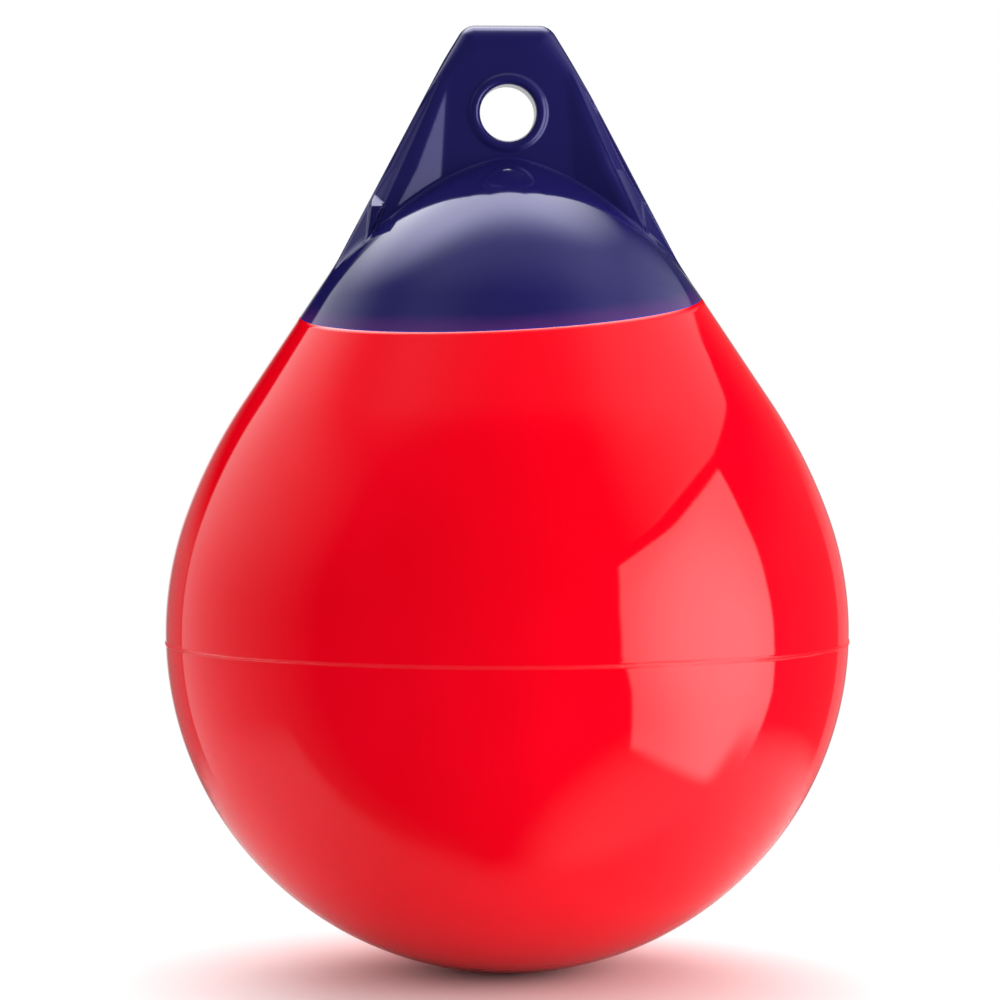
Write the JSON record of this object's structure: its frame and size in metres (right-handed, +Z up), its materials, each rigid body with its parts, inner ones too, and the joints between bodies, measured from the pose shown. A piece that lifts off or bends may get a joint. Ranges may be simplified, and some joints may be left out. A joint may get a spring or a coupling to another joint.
{
  "type": "inflatable mooring buoy",
  "caption": "Teardrop vinyl buoy: hollow round float, moulded rope end with a ribbed lug and rope eye, and an inflation valve closed by a screw plug.",
  "frame": {"origin": "centre of the rope eye, half way through the web", "axes": "+Z up along the buoy's axis, from the float to the rope eye; +Y along the rope eye's bore, towards the valve at the back; the front faces -Y"},
  "size_m": [0.281, 0.281, 0.3883],
  "materials": {
    "float_vinyl": "glossy bright red vinyl",
    "rope_end_vinyl": "glossy dark navy vinyl",
    "valve_plastic": "satin black plastic"
  },
  "bodies": {
    "buoy": {"float_body": "float_vinyl", "rope_end": "rope_end_vinyl", "valve_body": "valve_plastic"},
    "plug": {"valve_plug": "valve_plastic"}
  },
  "joints": [
    {"name": "valve_plug_out", "type": "slide", "parent": "buoy", "child": "plug", "axis": [0, 0.6947, 0.7193], "range_m": [0, 0.016]}
  ]
}
